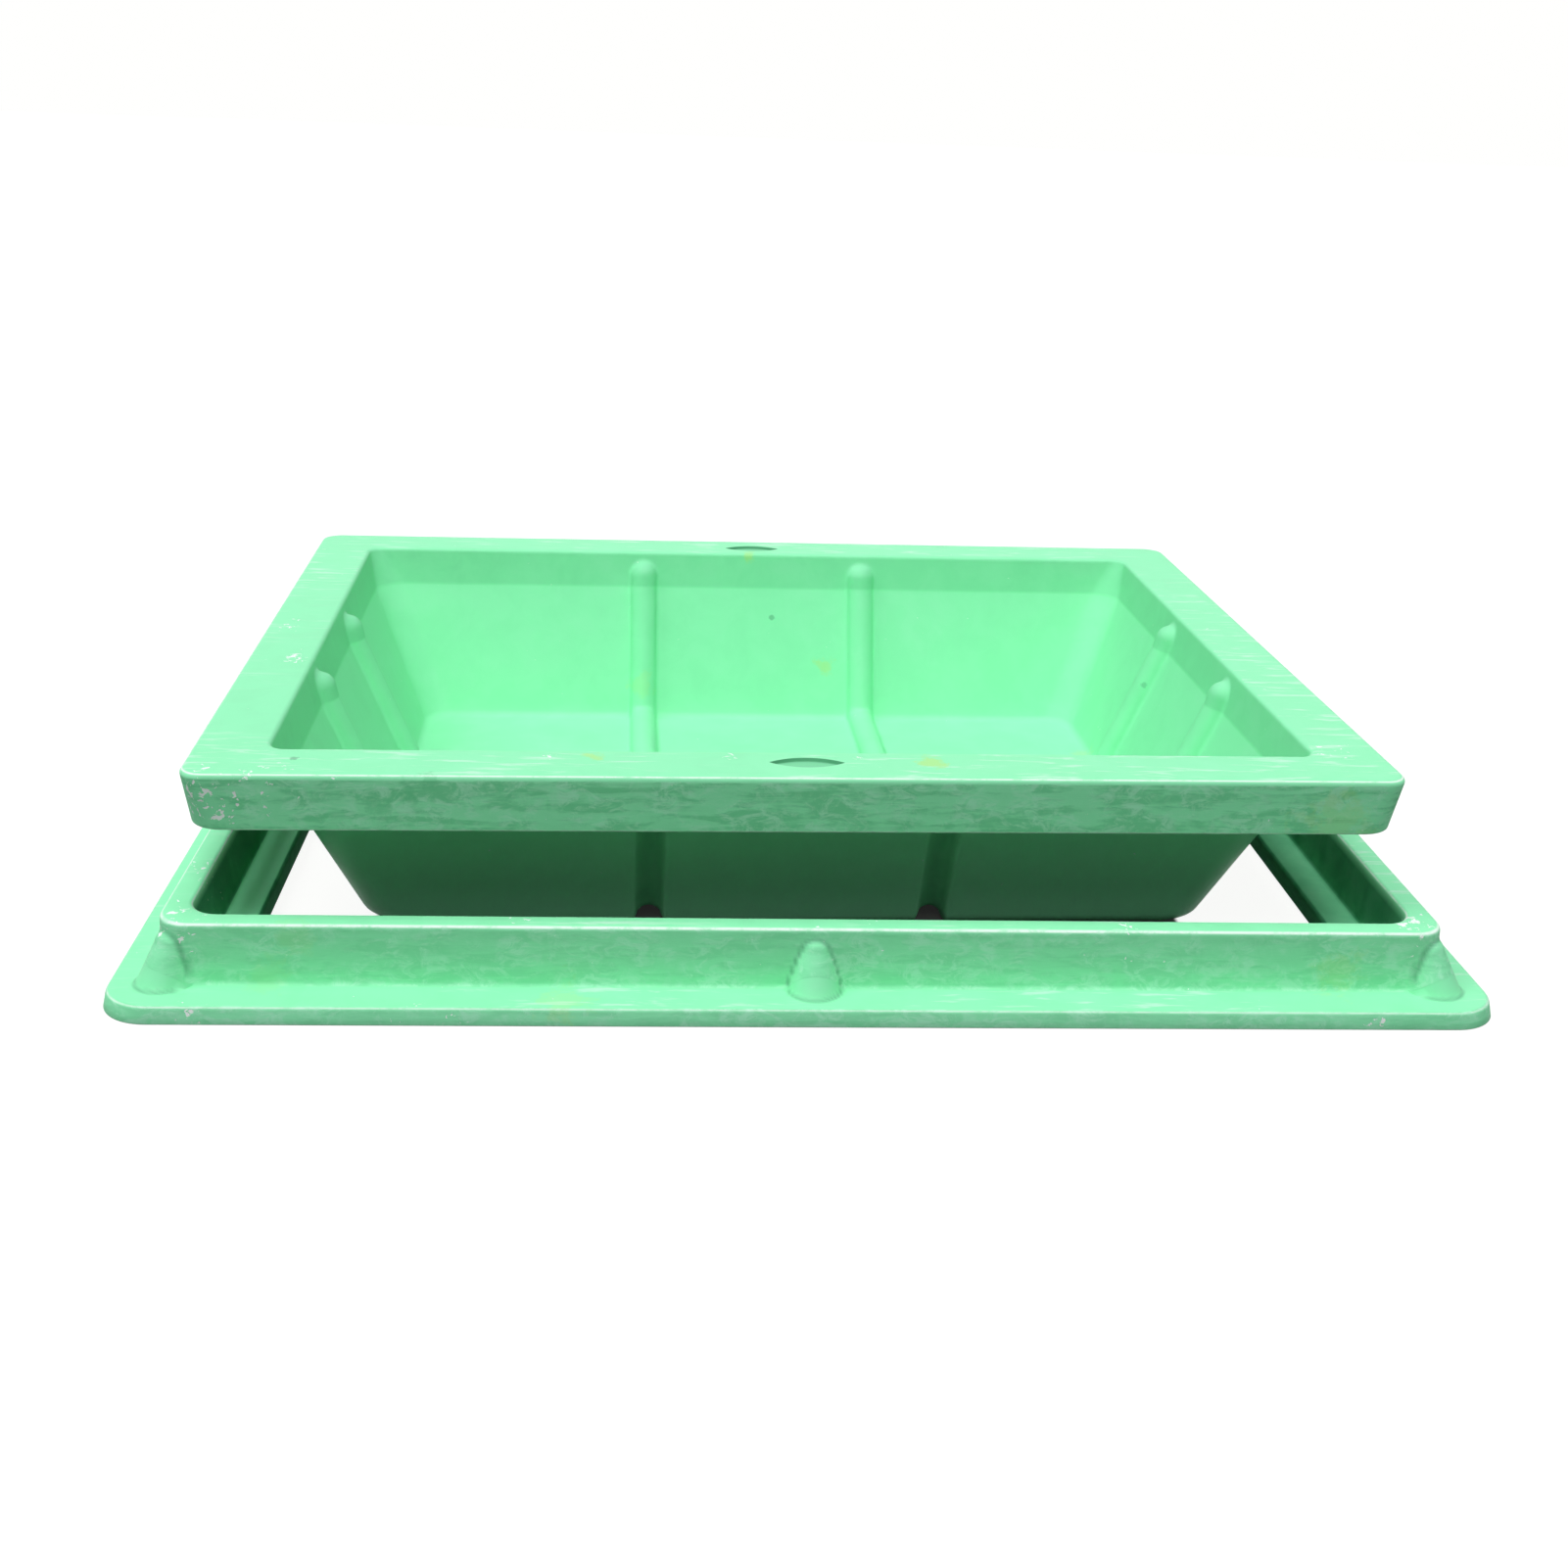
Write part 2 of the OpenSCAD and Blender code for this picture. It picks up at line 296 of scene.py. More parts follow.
def pan_section(floor_bend):
    """Upper face of the pan's sheet, floor to skirt: [outward, height, plan corner, bend]."""
    mouth = -RIM_W
    band = mouth - BAND_DRAFT
    floor = band - WALL_RUN
    return [[floor - floor_bend - 2 * WALL, WALL, BASIN_CORNER, 0],
            [floor, WALL, BASIN_CORNER, floor_bend],
            [band, PAN_H - BAND_H, BASIN_CORNER, BAND_BEND],
            [mouth, PAN_H, MOUTH_CORNER, RIM_BEND],
            [0, PAN_H, RIM_CORNER, RIM_BEND],
            [-SKIRT_DRAFT, PAN_H - SKIRT_H, SKIRT_CORNER, 0]]


def pan_rows(face, edge):
    """Rows of the wall and, in the last three columns, of the line that its ribs follow."""
    wall = rounded(face(pan_section(FLOOR_BEND)), PAN_BEND_STEPS)
    line = rounded(face(pan_section(RIB_R + WALL)), PAN_BEND_STEPS)
    # The first row is replaced by rows that grow from a sharp rectangle, for the floor's grid
    out, z, r = wall[1]
    inner = out - r
    start = [[inner + r * f, z, r * f, inner + (line[1][0] - inner) * f, z, r * f]
             for f in (0, 0.2, 0.4, 0.6, 0.8)]
    rows = start + [a + b for a, b in zip(wall[1:], line[1:])]
    rows[-1][1] += edge
    rows[-1][4] += edge
    return rows


def floor_grid(row, half, plan, offset):
    """Points and faces of the flat middle of the floor, inside its first ring."""
    reach = half + row[0] - row[2]
    xs = [-reach[0]] + side_places(plan["x"], plan["fractions"], reach[0]) + [reach[0]]
    ys = [-reach[1]] + side_places(plan["y"], plan["fractions"], reach[1]) + [reach[1]]
    points = np.array([(x, y, row[1]) for y in ys for x in xs])
    n = len(xs)
    corners = [offset + j * n + i for j in range(len(ys) - 1) for i in range(n - 1)]
    return points, [(k, k + 1, k + 1 + n, k + n) for k in corners]


def edge_rows(a, b, radius):
    """Rounds the sheet's cut edge between the last row of one face and the first of the other."""
    rows = []
    for i in range(1, 5):
        t = math.radians(90 * i / 4)
        rows.append([a[0] - radius * (1 - math.cos(t)), a[1] - radius * math.sin(t), a[2]])
    for i in range(0, 4):
        t = math.radians(90 * i / 4)
        rows.append([b[0] + radius * (1 - math.sin(t)), b[1] - radius * math.cos(t), b[2]])
    return rows


def make_pan():
    """The pan's closed shell: a loft over and under the sheet, and two grids for its floor."""
    plan = pan_plan()

    def steps(row):
        on_band = row[1] > RIB_END_Z - 4 and row[0] < -RIM_W + 1
        return 1.7 if on_band else 7.0

    top = divided(pan_rows(list, PAN_EDGE_R), steps)
    under = divided(pan_rows(lower_face, PAN_EDGE_R), steps)
    rim = [row * 2 for row in edge_rows(top[-1][:3], under[-1][:3], PAN_EDGE_R)]
    rows = top + rim + list(reversed(under))
    points, normals = surface([row[:3] for row in rows], PAN_HALF, plan, False)
    line, line_normals = surface([row[3:] for row in rows], PAN_HALF, plan, False)
    count = points.shape[1]

    def raise_beads(part, radius, fillet):
        """Moves the points of ribs, or of grooves with a radius below zero, off the wall."""
        height = bead_height(points[part], abs(radius), fillet)[..., None]
        lifted = np.clip(height / BEAD_BLEND, 0, 1)
        base = points[part] + (line[part] - points[part]) * lifted
        way = normals[part] + (line_normals[part] - normals[part]) * lifted
        way /= np.linalg.norm(way, axis=-1, keepdims=True)
        points[part] = base + way * height * math.copysign(1, radius)
        return height[..., 0]

    mouth_row = max(i for i, r in enumerate(top) if r[0] < -RIM_W + RIM_BEND + 0.1)
    raise_beads(slice(0, mouth_row), RIB_R, RIB_FILLET)
    below = next(i for i in range(len(top) + len(rim), len(rows))
                 if rows[i][0] < -RIM_W + WALL + 0.1)
    groove = raise_beads(slice(below, None), -GROOVE_R, GROOVE_FILLET)

    faces = ring_faces(len(rows), count, False)
    flat = points.reshape(-1, 3)
    marks = {mark: np.zeros(len(flat)) for mark in MARKS}
    # Painted shade in the grooves on the outside of the basin, by their depth
    marks["shade"][below * count:] = 0.45 * np.clip(groove.ravel() / GROOVE_R, 0, 1)
    for i, row in enumerate(rows):
        part = slice(i * count, (i + 1) * count)
        drop = PAN_H - row[1]
        # Pale line along the rim's rounded top edge and its cut edge: wear and a painted highlight
        if i < len(top) and abs(row[0]) < RIM_BEND:
            marks["edge"][part] = 1.0 if 0.6 < drop < 1.0 else 0.0
        if len(top) <= i < len(top) + len(rim):
            marks["edge"][part] = 0.6
        on_skirt = row[0] > -SKIRT_DRAFT - WALL - 3 and drop > RIM_BEND
        marks["outside"][part] = 1.0 if on_skirt else 0.0
        marks["top"][part] = 1.0 if i < len(top) and drop < 0.5 else 0.0
        # Painted shade on the band below the mouth
        if i < len(top) and row[0] < -RIM_W and drop < BAND_H - 1:
            marks["shade"][part] = 0.12

    grid, grid_faces = floor_grid(top[0], PAN_HALF, plan, len(flat))
    grid[:, 2] += bead_height(grid, RIB_R, RIB_FILLET)
    base, base_faces = floor_grid(under[0], PAN_HALF, plan, len(flat) + len(grid))
    base[:, 2] += bead_height(base, GROOVE_R, GROOVE_FILLET)
    faces += grid_faces + [tuple(reversed(f)) for f in base_faces]
    every = np.vstack([flat, grid, base])
    for mark in marks:
        marks[mark] = np.concatenate([marks[mark], np.zeros(len(grid) + len(base))])
    return build_mesh("pan_shell", every, faces, marks)


def lens_outline(length, width, grow, steps):
    """Points of two arcs that meet on the X axis."""
    length, width = length + 2 * grow, width + 2 * grow
    r = (length ** 2 + width ** 2) / (4 * width)
    half = math.asin(length / 2 / r)
    front = [(r * math.sin(t), r - width / 2 - r * math.cos(t))
             for t in np.linspace(-half, half, steps)]
    back = [(-x, -y) for x, y in front]
    return front + back[1:-1]


def cut_recesses(pan):
    """Cuts the two lens-shaped recesses, with leaning sides, out of the rim, and darkens them with
    dirt and painted shade.
    """
    # Heights of the cutter's rings and how far each is grown past the outline
    levels = [(PAN_H + 1, 0.5), (PAN_H - 0.25, 0.0), (PAN_H - RECESS_DEPTH, -0.9),
              (PAN_H - RECESS_DEPTH, -2.2), (PAN_H - RECESS_DEPTH, -4.0)]
    for side in (-1, 1):
        verts, faces = [], []
        for z, grow in levels:
            for x, y in lens_outline(RECESS_LEN, RECESS_W, grow, 24):
                verts.append((x, y + side * (PAN_HALF[1] - RECESS_INSET), z))
        n = len(verts) // len(levels)
        for k in range(len(levels) - 1):
            for i in range(n):
                j = (i + 1) % n
                faces.append((k * n + i, (k + 1) * n + i, (k + 1) * n + j, k * n + j))
        faces.append(tuple(range(n)))
        faces.append(tuple(reversed(range((len(levels) - 1) * n, len(levels) * n))))
        cutter = build_mesh("recess_cutter", np.array(verts), faces, {})
        modifier = pan.modifiers.new("recess", "BOOLEAN")
        modifier.operation = "DIFFERENCE"
        modifier.solver = "EXACT"
        modifier.object = cutter
        graph = bpy.context.evaluated_depsgraph_get()
        mesh = bpy.data.meshes.new_from_object(pan.evaluated_get(graph))
        pan.modifiers.clear()
        pan.data = mesh
        bpy.data.objects.remove(cutter)
    # Dirt and painted shade in the recesses, darkest along their sides
    dirt_and_shade = pan.data.attributes["dirt_and_shade"]
    r = (RECESS_LEN ** 2 + RECESS_W ** 2) / (4 * RECESS_W)
    for vertex in pan.data.vertices:
        x, y, z = vertex.co / MM
        across = abs(abs(y) - PAN_HALF[1] + RECESS_INSET)
        depth_in = r - math.hypot(x, across + r - RECESS_W / 2)
        if PAN_H - RECESS_DEPTH - 0.1 < z < PAN_H - 0.1 and depth_in > -0.5:
            dirt_and_shade.data[vertex.index].value = max(0.45, 1.0 - max(depth_in - 0.9, 0) / 3.5)


def sharpen(obj, degrees):
    """Marks edges that turn by more than so many degrees as sharp."""
    bm = bmesh.new()
    bm.from_mesh(obj.data)
    limit = math.radians(degrees)
    for edge in bm.edges:
        edge.smooth = len(edge.link_faces) != 2 or edge.calc_face_angle(0) < limit
    bm.to_mesh(obj.data)
    bm.free()


# Frame

def frame_section():
    """Upper face of the frame's sheet from its inner edge to its foot."""
    ledge = -REBATE_DRAFT
    inner = ledge - LEDGE_W
    ledge_z = FRAME_H - SKIRT_H
    return [[inner, 0, LEDGE_CORNER, 0],
            [inner, ledge_z, LEDGE_CORNER, FRAME_BEND],
            [ledge, ledge_z, LIP_CORNER, FRAME_BEND],
            [0, FRAME_H, LIP_CORNER, FRAME_BEND],
            [LIP_W, FRAME_H, UPSTAND_CORNER, FRAME_BEND],
            [FOOT_OUT, FOOT_H, UPSTAND_CORNER, FRAME_BEND],
            [EDGE_OUT, FOOT_H, FOOT_CORNER, FRAME_BEND],
            [EDGE_OUT + FOOT_DRAFT, 0, FOOT_CORNER, 0]]


def gusset_places():
    """Foot and direction in plan of the gussets at the middle of each side and each corner."""
    foot = LIP_HALF + FOOT_OUT
    corner = foot - UPSTAND_CORNER
    places = []
    for k in range(4):
        a = math.radians(90 * k)
        way = np.array([math.cos(a), math.sin(a)])
        places.append((way * foot[k % 2], way))
        b = a + math.pi / 4
        diagonal = np.array([math.cos(b), math.sin(b)])
        sign = np.sign(diagonal)
        places.append((sign * corner + diagonal * UPSTAND_CORNER, diagonal))
    return places


def gusset_distance(points, inset):
    """Distance to the nearest gusset, a leaning cone that ends in a ball."""
    top_z = FRAME_H - GUSSET_DROP - GUSSET_TOP_R
    wall_x = -UPSTAND_DRAFT * (top_z - FOOT_H) / (FRAME_H - FOOT_H)
    foot = np.array([0.0, FOOT_H])
    top = np.array([wall_x + GUSSET_PROUD - GUSSET_TOP_R, top_z])
    length = np.linalg.norm(top - foot)
    axis = (top - foot) / length
    taper = (GUSSET_R - GUSSET_TOP_R) / length
    nearest = np.full(points.shape[:-1], 1e9)
    for place, way in gusset_places():
        q = points[..., :2] - place
        u, s, z = q @ way, q @ np.array([-way[1], way[0]]), points[..., 2]
        h = u * axis[0] + (z - foot[1]) * axis[1]
        across = u * axis[1] - (z - foot[1]) * axis[0]
        cone = (np.hypot(across, s) - (GUSSET_R - taper * h)) / math.hypot(1, taper)
        ball = np.sqrt((u - top[0]) ** 2 + s ** 2 + (z - top[1]) ** 2) - GUSSET_TOP_R
        nearest = np.minimum(nearest, np.where(h < length, cone, ball) + inset)
    return nearest


def upstand_distance(points):
    """Distance in plan to the foot of the outer wall, below zero inside it."""
    q = np.abs(points[..., :2]) - (LIP_HALF + FOOT_OUT - UPSTAND_CORNER)
    corner = np.hypot(np.maximum(q[..., 0], 0), np.maximum(q[..., 1], 0))
    return corner + np.minimum(q.max(-1), 0) - UPSTAND_CORNER


def wall_distance(points, inset):
    """Distance to the corner between the outer wall and the foot flange, on the air side."""
    lean = UPSTAND_DRAFT / (FRAME_H - FOOT_H)
    wall = upstand_distance(points) + lean * (points[..., 2] - FOOT_H)
    return np.minimum(wall, points[..., 2] - FOOT_H) + inset


def soft_min(a, b, k):
    """The smaller of two distances, rounded over within k."""
    h = np.maximum(k - np.abs(a - b), 0) / k
    return np.minimum(a, b) - h * h * k / 4


def bulge(points, ways, inset, blend):
    """Moves the wall and foot out to the gussets, and gives 1 at their crease, 0 away from it."""
    pole = np.concatenate([ways * 0, np.zeros(ways.shape[:-1] + (1,))], -1)
    pole[..., :2] = points[..., :2] + ways * (GUSSET_POLE - upstand_distance(points))[..., None]
    pole[..., 2] = FRAME_H
    reach = pole - points
    far = np.linalg.norm(reach, axis=-1)
    heading = reach / far[..., None]
    start = wall_distance(points, inset)
    gone = np.zeros(points.shape[:-1])
    for _ in range(GUSSET_ROUNDS):
        here = points + heading * gone[..., None]
        inside = soft_min(wall_distance(here, inset) - start, gusset_distance(here, inset), blend)
        gone = np.minimum(gone + np.maximum(-inside, 0) * GUSSET_STRIDE, far * 0.9)
    here = points + heading * gone[..., None]
    apart = np.maximum(np.abs(wall_distance(here, inset) - start),
                       np.abs(gusset_distance(here, inset)))
    return here, np.clip(1 - apart / CREASE_W, 0, 1)


def make_frame():
    """The frame's closed shell: a loft over and under the sheet, pushed out at the gussets."""
    middle = list(np.arange(-28, 28.1, 2.0))
    plan = {"x": middle, "y": middle, "corner": 22,
            "fractions": (0.25, 0.5, 0.75, 0.9, 0.94, 0.955, 0.97, 0.985)}

    def steps(row):
        near_gusset = row[0] > LIP_W - 6 and row[0] < EDGE_OUT - 2 and row[1] < FRAME_H - 1
        return 1.6 if near_gusset else 6.0

    upper = rounded(frame_section(), FRAME_BEND_STEPS)
    lower = rounded(lower_face(frame_section()), FRAME_BEND_STEPS)
    for rows in (upper, lower):
        rows[0][1] += FRAME_EDGE_R
        rows[-1][1] += FRAME_EDGE_R
    top, under = divided(upper, steps), divided(lower, steps)
    foot_edge = edge_rows(top[-1], under[-1], FRAME_EDGE_R)
    inner_edge = edge_rows(under[0], top[0], FRAME_EDGE_R)
    rows = top + foot_edge + list(reversed(under)) + inner_edge
    points, normals = surface(rows, LIP_HALF, plan, True)
    ways = np.array([ring_points(rows[0], LIP_HALF, plan)[1]] * len(rows))
    count = points.shape[1]
    crease = np.zeros((len(rows), count))

    def spread(part, inset, blend):
        chosen = [i for i in part if LIP_W - WALL - 3.5 < rows[i][0] < EDGE_OUT - 2.0
                  and rows[i][1] < FRAME_H - 2.9 - inset]
        points[chosen], crease[chosen] = bulge(points[chosen], ways[chosen], inset, blend)

    spread(range(len(top)), 0.0, GUSSET_BLEND)
    spread(range(len(top) + len(foot_edge), len(rows) - len(inner_edge)), WALL, GUSSET_BLEND_UNDER)

    flat = points.reshape(-1, 3)
    marks = {mark: np.zeros(len(flat)) for mark in MARKS}
    # Painted shade in the creases where the gussets meet the wall and foot
    marks["dirt_and_shade"][:] = 0.8 * crease.ravel()
    for i, row in enumerate(rows[:len(top) + len(foot_edge)]):
        part = slice(i * count, (i + 1) * count)
        drop = FRAME_H - row[1]
        # Pale lines along the lip's and foot's rounded edges and the cut edge: wear and a painted
        # highlight
        on_lip = 0.5 < drop < 1.4 and (-1 < row[0] < 2 or row[0] > LIP_W - 3)
        on_foot = row[0] > EDGE_OUT - FRAME_BEND and 0.5 < FOOT_H - row[1] < 1.4
        marks["edge"][part] = 0.8 if on_lip else 0.6 if on_foot or i >= len(top) else 0.0
        over_foot = abs(row[1] - FOOT_H)
        marks["outside"][part] = 1.0 if row[0] > LIP_W - 1 and over_foot > 0.3 else 0.0
        marks["top"][part] = 1.0 if drop < 0.5 or over_foot < 0.3 else 0.0
        # Painted shade on the rebate wall, the inner edge and the ledge, stronger on the ledge's
        # right half
        if row[0] < -0.4:
            on_ledge = abs(drop - SKIRT_H) < 1.0 and row[0] > -REBATE_DRAFT - LEDGE_W + 2
            ledge_shade = np.where(flat[part, 0] > 0, 0.5, 0.05)
            marks["shade"][part] = ledge_shade if on_ledge else 0.85
    return build_mesh("frame_shell", flat, ring_faces(len(rows), count, True), marks)


# Materials

class Nodes:
    """Short calls for building a node tree."""

    def __init__(self, name):
        self.material = bpy.data.materials.new(name)
        self.material.use_nodes = True
        self.tree = self.material.node_tree
        self.shader = self.tree.nodes["Principled BSDF"]

    def add(self, kind, inputs=(), **settings):
        node = self.tree.nodes.new(kind)
        for key, value in settings.items():
            setattr(node, key, value)
        for key, value in dict(inputs).items():
            self.put(value, node.inputs[key])
        return node

    def put(self, value, socket):
        if isinstance(value, bpy.types.NodeSocket):
            self.tree.links.new(value, socket)
        else:
            socket.default_value = value

    def math(self, operation, a, b=0.0):
        return self.add("ShaderNodeMath", {0: a, 1: b}, operation=operation).outputs[0]

    def times(self, *factors):
        """The product of the factors, multiplied from the left."""
        product = factors[0]
        for factor in factors[1:]:
            product = self.math("MULTIPLY", product, factor)
        return product

    def plus(self, a, b):
        return self.math("ADD", a, b)

    def mark(self, name):
        return self.add("ShaderNodeAttribute", attribute_name=name).outputs["Fac"]

    def noise(self, place, scale, detail, roughness, distortion=0.0):
        inputs = {"Vector": place, "Scale": scale, "Detail": detail, "Roughness": roughness,
                  "Distortion": distortion}
        return self.add("ShaderNodeTexNoise", inputs).outputs["Fac"]

    def span(self, value, low, high, to_low=0.0, to_high=1.0):
        """A smooth step from to_low at low to to_high at high."""
        inputs = {"Value": value, "From Min": low, "From Max": high, "To Min": to_low,
                  "To Max": to_high}
        return self.add("ShaderNodeMapRange", inputs, interpolation_type="SMOOTHSTEP").outputs[0]

    def mix(self, factor, a, b):
        """Colour a, turned towards colour b by the factor."""
        node = self.add("ShaderNodeMix", data_type="RGBA")
        self.put(factor, node.inputs[0])
        self.put(a, node.inputs[6])
        self.put(b, node.inputs[7])
        return node.outputs[2]

    def stretched(self, place, scale, turn=(0, 0, 0)):
        inputs = {"Vector": place, "Scale": scale, "Rotation": turn}
        return self.add("ShaderNodeMapping", inputs).outputs[0]

    def spot(self, place, centre, radius, ragged):
        """1 at the centre, 0 past the radius, with a ragged border."""
        inputs = {0: place, 1: centre}
        away = self.add("ShaderNodeVectorMath", inputs, operation="DISTANCE").outputs["Value"]
        border = self.times(self.math("SUBTRACT", ragged, 0.5), radius * SPOT_RAGGED)
        return self.span(self.plus(away, border), radius * SPOT_CORE, radius, 1.0, 0.0)


GREEN = (0.285, 0.880, 0.490, 1)
GREEN_DEEP = (0.150, 0.640, 0.300, 1)
GREEN_PALE = (0.390, 0.920, 0.600, 1)
SCUFF = (0.560, 0.900, 0.700, 1)
WORN = (0.440, 0.930, 0.640, 1)
# Pale colour for chips and for the painted highlight line along edges
CHIP_AND_HIGHLIGHT = (0.920, 1.000, 0.960, 1)
STAIN = (0.480, 0.780, 0.180, 1)
# Dark green for small dirt spots and for painted shade in recesses and creases
GRIME_AND_SHADE = (0.030, 0.200, 0.090, 1)
# Colour of painted shade on the frame's inner faces, the band and the grooves
PAINTED_SHADE = (0.015, 0.230, 0.095, 1)

SPOT_RAGGED, SPOT_CORE = 3.2, 0.35
WIPE_SHARE, WORN_SHARE, DIRT_AND_SHADE_SHARE = 0.8, 0.7, 0.75
BRUISE_LIFT = 0.18
GLOSS = (0.40, 0.48)
OUTSIDE_ROUGHER, SHADE_ROUGHER = 0.12, 0.45
SPECULAR = 0.12
RELIEF, RELIEF_DEPTH = 0.35, 0.0012


def moulded(name, stains, bruises, seed, scuffed):
    """Green glass-fibre moulding: smooth gel coat, scuffed outside, worn and chipped edges with a
    painted highlight line, dirt and painted shade.
    """
    n = Nodes(name)
    place = n.add("ShaderNodeTexCoord").outputs["Object"]
    start = {0: place, 1: (seed, seed * 0.7, 0)}
    moved = n.add("ShaderNodeVectorMath", start, operation="ADD").outputs[0]
    broad = n.noise(moved, 4.0, 3.0, 0.5, 0.6)
    cloud = n.noise(moved, 34.0, 5.0, 0.60, 0.4)
    fine = n.noise(moved, 420.0, 3.0, 0.6)
    wipe = n.noise(n.stretched(moved, (26, 170, 170)), 1.0, 4.0, 0.6, 0.3)
    streak = n.noise(n.stretched(moved, (26, 26, 170), (0, 0.05, 0)), 1.0, 6.0, 0.62, 0.5)
    wisp = n.noise(n.stretched(moved, (70, 70, 120), (0.3, 0.5, 0.4)), 1.0, 7.0, 0.72, 1.0)
    ragged = n.noise(moved, 90.0, 5.0, 0.7)
    flecks = n.noise(moved, 210.0, 3.0, 0.55, 0.6)
    edge, outside, dirt_and_shade, top, shade = (n.mark(m) for m in MARKS)

    # Gel coat, then wipes on top and streaks and wisps outside
    plain = n.mix(n.span(cloud, 0.56, 0.30, 0.0, 0.14), GREEN, GREEN_DEEP)
    lighter = n.mix(n.span(cloud, 0.42, 0.72, 0.0, 0.30), GREEN, GREEN_PALE)
    colour = n.mix(n.span(broad, 0.30, 0.72), plain, lighter)
    wiped = n.times(top, n.times(n.span(wipe, 0.54, 0.68), n.span(broad, 0.40, 0.58)))
    colour = n.mix(n.times(wiped, WIPE_SHARE), colour, SCUFF)
    dark = n.span(n.plus(n.times(streak, 0.6), n.times(cloud, 0.4)), 0.44, 0.56)
    colour = n.mix(n.times(outside, dark, 1.0 - scuffed), colour, GREEN_DEEP)
    pale = n.times(n.span(wisp, 0.44, 0.62), n.span(cloud, 0.34, 0.56))
    colour = n.mix(n.times(outside, pale, WORN_SHARE), colour, WORN)

    # Painted shade, stains, worn edges with a painted highlight line, chips, and dirt with painted
    # shade
    colour = n.mix(n.times(shade, n.span(cloud, 0.3, 0.7, 1.0, 0.8)), colour, PAINTED_SHADE)
    for centre, radius, strength, tint in stains:
        colour = n.mix(n.times(n.spot(place, centre, radius, ragged), strength), colour, tint)
    # Pale edge line: wear and a painted highlight
    colour = n.mix(n.times(edge, n.span(ragged, 0.30, 0.56, 0.30, 1.0)), colour, CHIP_AND_HIGHLIGHT)
    bruised = 0.0
    for centre, radius, strength in bruises:
        spot = n.times(n.spot(place, centre, radius, ragged), strength)
        bruised = n.math("MAXIMUM", spot, bruised)
    rubbed = n.times(n.math("MAXIMUM", edge, outside), n.span(flecks, 0.74, 0.78))
    knocked = n.span(n.plus(flecks, n.times(bruised, BRUISE_LIFT)), 0.75, 0.78)
    chips = n.math("MAXIMUM", rubbed, knocked)
    colour = n.mix(chips, colour, CHIP_AND_HIGHLIGHT)
    # Dirt and painted shade in the recesses and gusset creases
    colour = n.mix(n.times(dirt_and_shade, DIRT_AND_SHADE_SHARE), colour, GRIME_AND_SHADE)
    n.put(colour, n.shader.inputs["Base Color"])

    rough = n.plus(n.span(cloud, 0.3, 0.7, *GLOSS), n.times(outside, OUTSIDE_ROUGHER))
    # Rougher where painted shade lies
    rough = n.plus(rough, n.times(shade, SHADE_ROUGHER))
    n.put(rough, n.shader.inputs["Roughness"])
    n.shader.inputs["Specular IOR Level"].default_value = SPECULAR
    grain = n.plus(n.times(cloud, 0.2), n.times(fine, 0.08))
    grain = n.plus(grain, n.times(outside, streak, 0.6))
    grain = n.math("SUBTRACT", grain, n.times(chips, 0.3))
    inputs = {"Height": grain, "Strength": RELIEF, "Distance": RELIEF_DEPTH}
    n.put(n.add("ShaderNodeBump", inputs).outputs[0], n.shader.inputs["Normal"])
    return n.material


# Stains: place in metres, radius, strength and colour. Bruises: place, radius and strength.
PAN_STAINS = (
    ((-0.137, -0.264, 0.140), 0.007, 0.55, STAIN), ((0.071, -0.266, 0.140), 0.012, 0.60, STAIN),
    ((-0.019, 0.257, 0.139), 0.008, 0.50, STAIN), ((0.049, 0.226, 0.048), 0.009, 0.45, STAIN),
    ((-0.112, 0.206, 0.034), 0.014, 0.20, STAIN), ((0.262, 0.127, 0.005), 0.012, 0.25, STAIN),
    ((0.325, -0.288, 0.110), 0.028, 0.20, STAIN), ((0.001, 0.241, 0.087), 0.0024, 0.45, GRIME_AND_SHADE),
    ((-0.316, -0.275, 0.140), 0.0034, 0.50, GRIME_AND_SHADE), ((0.293, 0.073, 0.084), 0.0028, 0.35, GRIME_AND_SHADE),
    ((-0.232, -0.301, 0.135), 0.008, 0.45, GREEN_DEEP),
    ((-0.246, -0.300, 0.128), 0.009, 0.50, GREEN_DEEP),
    ((-0.262, -0.300, 0.119), 0.010, 0.50, GREEN_DEEP))
PAN_BRUISES = (
    ((-0.362, -0.303, 0.124), 0.030, 1.0), ((-0.335, -0.302, 0.133), 0.030, 0.75),
    ((-0.286, -0.302, 0.136), 0.008, 0.9), ((-0.352, -0.073, 0.140), 0.014, 1.1),
    ((-0.370, 0.005, 0.140), 0.020, 0.8), ((-0.163, -0.265, 0.140), 0.009, 1.0),
    ((-0.053, -0.261, 0.140), 0.008, 1.0), ((0.026, -0.261, 0.140), 0.009, 0.9),
    ((0.331, -0.232, 0.140), 0.024, 0.7))
FRAME_STAINS = (
    ((-0.152, -0.341, 0.012), 0.020, 0.20, STAIN), ((-0.313, -0.321, 0.043), 0.014, 0.12, STAIN),
    ((-0.329, -0.322, 0.017), 0.016, 0.10, STAIN), ((0.328, -0.321, 0.026), 0.018, 0.20, STAIN))
FRAME_BRUISES = (
    ((-0.380, -0.309, 0.051), 0.024, 0.95), ((-0.383, -0.235, 0.051), 0.032, 0.65),
    ((0.377, -0.303, 0.051), 0.020, 1.3), ((-0.224, -0.352, 0.001), 0.030, 0.7),
    ((-0.369, -0.351, 0.007), 0.014, 0.7), ((0.348, -0.352, 0.001), 0.012, 0.7),
    ((-0.183, -0.312, 0.051), 0.014, 0.9), ((0.032, -0.308, 0.051), 0.010, 0.9),
    ((0.194, -0.309, 0.051), 0.012, 0.9))


